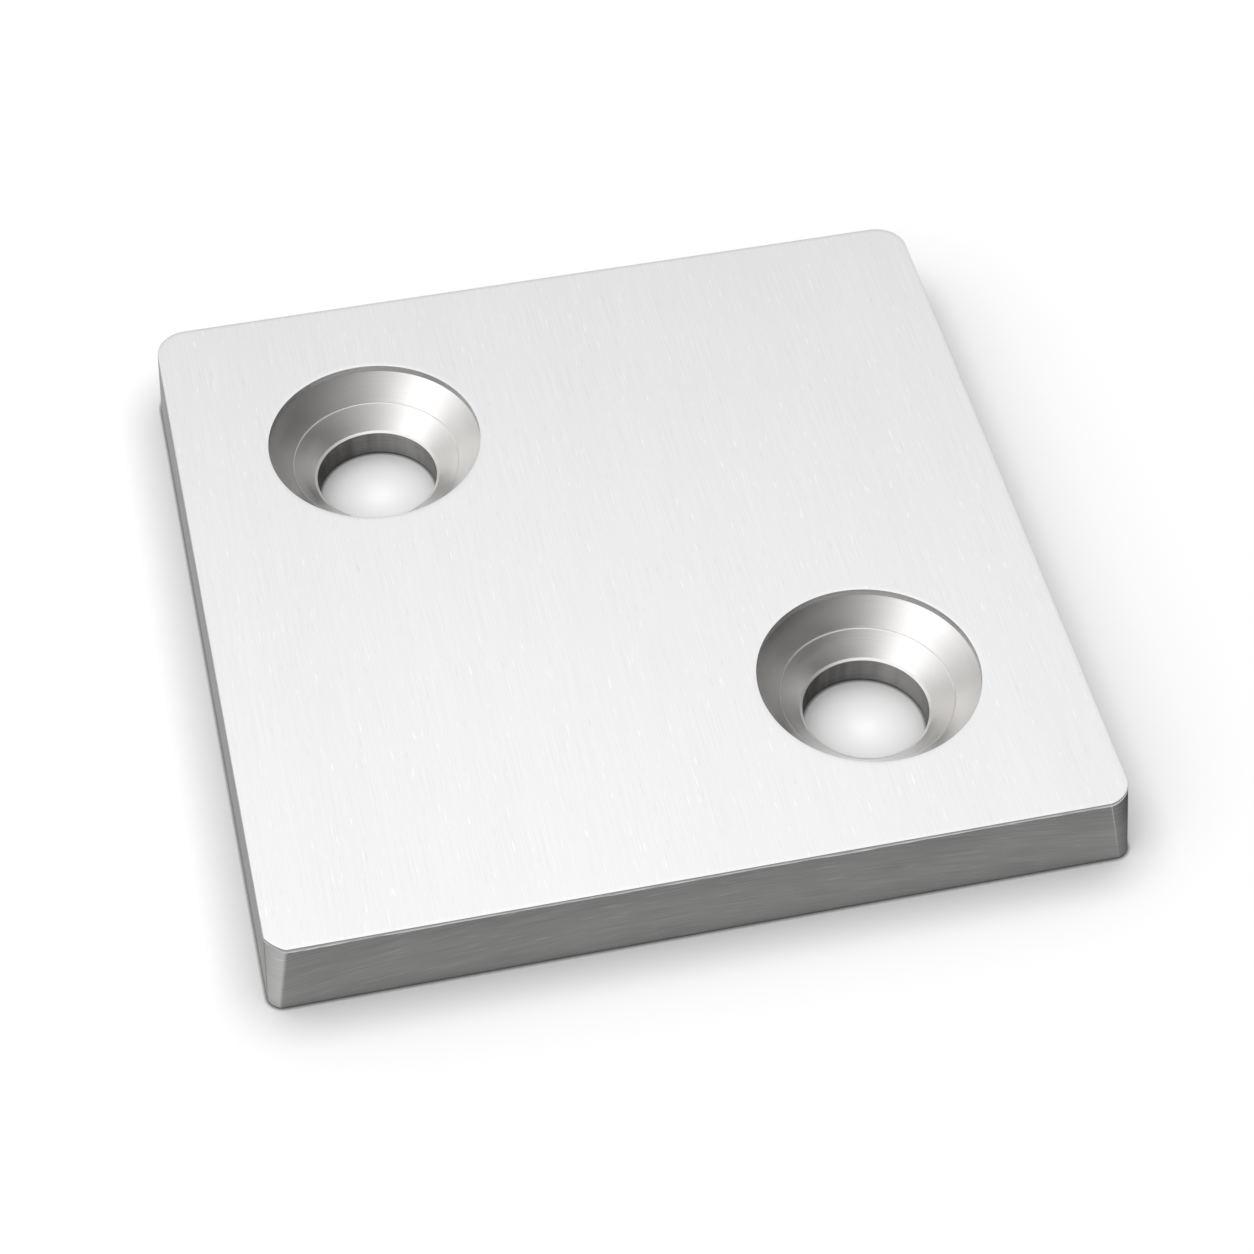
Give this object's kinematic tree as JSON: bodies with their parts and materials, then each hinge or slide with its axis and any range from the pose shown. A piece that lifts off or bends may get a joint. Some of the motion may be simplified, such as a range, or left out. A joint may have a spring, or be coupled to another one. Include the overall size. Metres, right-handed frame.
{
  "type": "profile end cap",
  "caption": "Square aluminium end cap plate for a framing profile, with countersunk screw holes on opposite corners.",
  "frame": {"origin": "centre of the underside, the face that seats on the end of the profile", "axes": "+Z out of the countersunk face; X and Y along the plate's sides, with one hole towards -X and +Y and the other towards +X and -Y"},
  "size_m": [0.06, 0.06, 0.006],
  "materials": {
    "brushed_aluminium": "fine straight brushing on the face, sawn edges, turned countersinks"
  },
  "bodies": {
    "root": {"cap_plate": "brushed_aluminium"}
  },
  "joints": []
}
